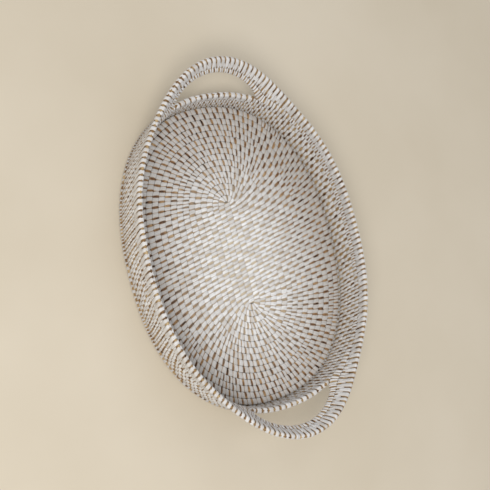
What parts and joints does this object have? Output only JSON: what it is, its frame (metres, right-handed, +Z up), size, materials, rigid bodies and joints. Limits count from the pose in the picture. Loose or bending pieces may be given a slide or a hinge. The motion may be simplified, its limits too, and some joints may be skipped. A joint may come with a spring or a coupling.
{
  "type": "serving tray",
  "caption": "Oval coiled rattan serving tray with a raised wall and a loop handle at each end.",
  "frame": {"origin": "on the surface the tray rests on, under the middle of the base", "axes": "+X from handle to handle, +Y across the tray, +Z up out of the tray"},
  "size_m": [0.4618, 0.305, 0.0689],
  "materials": {
    "whitewashed_rattan": "matt",
    "bare_rattan": "satin"
  },
  "bodies": {
    "root": {"starter_cane": "whitewashed_rattan", "base_turn_01": "whitewashed_rattan", "base_turn_02": "whitewashed_rattan", "base_turn_03": "whitewashed_rattan", "base_turn_04": "whitewashed_rattan", "base_turn_05": "whitewashed_rattan", "base_turn_06": "whitewashed_rattan", "base_turn_07": "whitewashed_rattan", "base_turn_08": "whitewashed_rattan", "base_turn_09": "whitewashed_rattan", "base_turn_10": "whitewashed_rattan", "base_turn_11": "whitewashed_rattan", "base_turn_12": "whitewashed_rattan", "base_turn_13": "whitewashed_rattan", "base_turn_14": "whitewashed_rattan", "base_turn_15": "whitewashed_rattan", "base_turn_16": "whitewashed_rattan", "wall_turn_1": "whitewashed_rattan", "wall_turn_2": "whitewashed_rattan", "wall_turn_3": "whitewashed_rattan", "wall_turn_4": "whitewashed_rattan", "wall_turn_5": "whitewashed_rattan", "handle_cane_lower": "bare_rattan", "handle_cane_middle": "bare_rattan", "handle_cane_top": "bare_rattan", "handle_binding_lower": "whitewashed_rattan", "handle_binding_middle": "whitewashed_rattan", "handle_binding_top": "whitewashed_rattan"}
  },
  "joints": []
}
